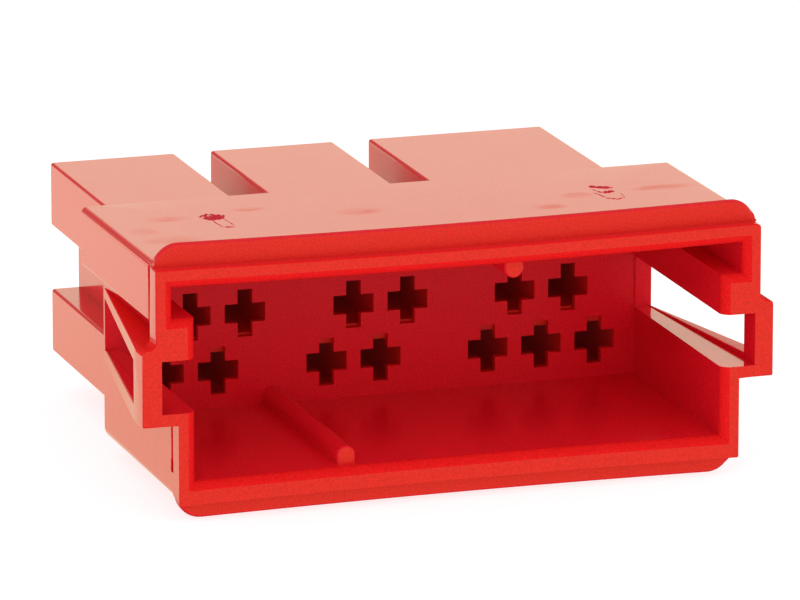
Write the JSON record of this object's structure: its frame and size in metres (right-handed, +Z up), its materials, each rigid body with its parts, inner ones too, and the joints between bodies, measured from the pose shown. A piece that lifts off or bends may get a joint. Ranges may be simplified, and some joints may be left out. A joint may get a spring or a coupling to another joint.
{
  "type": "connector housing",
  "caption": "Red one-piece moulded connector housing with a keyed plug socket, latch bows on both sides and stepped terminal blocks behind cross-shaped contact openings.",
  "frame": {"origin": "under the middle of the part, in the plane of the lower stop flange's underside", "axes": "+X along the contact rows to the right of someone looking into the socket, +Y from the mouth to the terminal blocks, +Z up through the rows"},
  "size_m": [0.0398, 0.0328, 0.017],
  "materials": {
    "red_plastic": "satin moulded plastic"
  },
  "bodies": {
    "root": {"housing": "red_plastic"}
  },
  "joints": []
}
